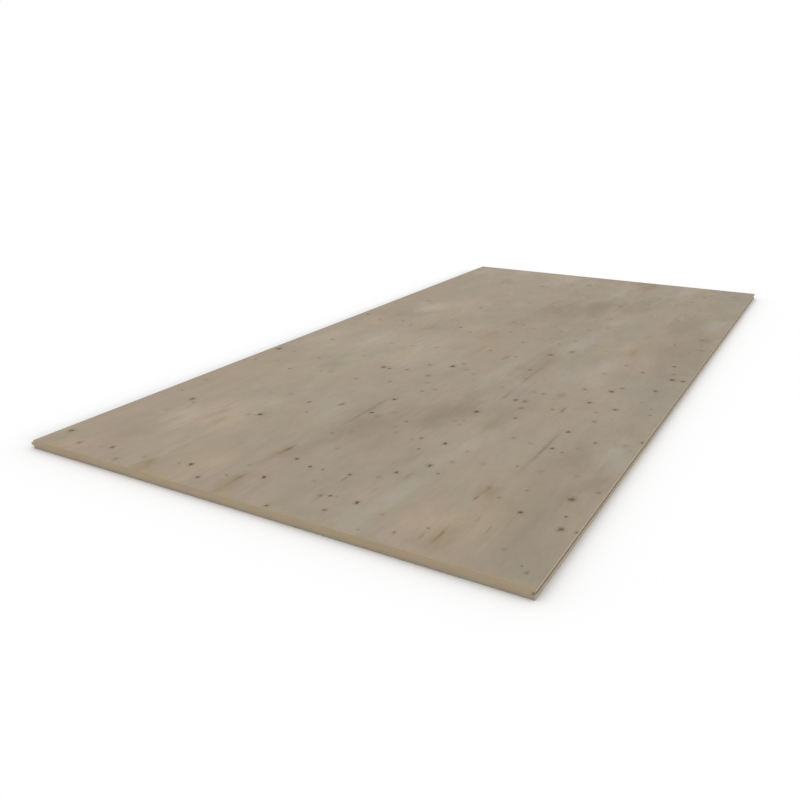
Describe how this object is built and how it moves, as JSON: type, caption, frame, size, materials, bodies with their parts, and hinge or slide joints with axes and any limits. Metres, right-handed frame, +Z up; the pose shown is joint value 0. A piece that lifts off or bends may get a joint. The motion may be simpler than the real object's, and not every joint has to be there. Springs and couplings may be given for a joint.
{
  "type": "underlayment panel",
  "caption": "Flat tongue-and-groove plywood underlayment panel: sanded faces, a tapered tongue milled along its left long edge, a matching groove along its right, and square-cut butt ends.",
  "frame": {"origin": "middle of the bounding box on the floor, so the tongue counts in the width and the underside is at Z = 0", "axes": "+X across the sheet towards the groove, -X towards the tongue, +Y along the face grain, +Z up out of the sanded face"},
  "size_m": [1.208, 2.44, 0.02],
  "materials": {
    "plywood": "matte"
  },
  "bodies": {
    "root": {"underlayment_panel": "plywood"}
  },
  "joints": []
}
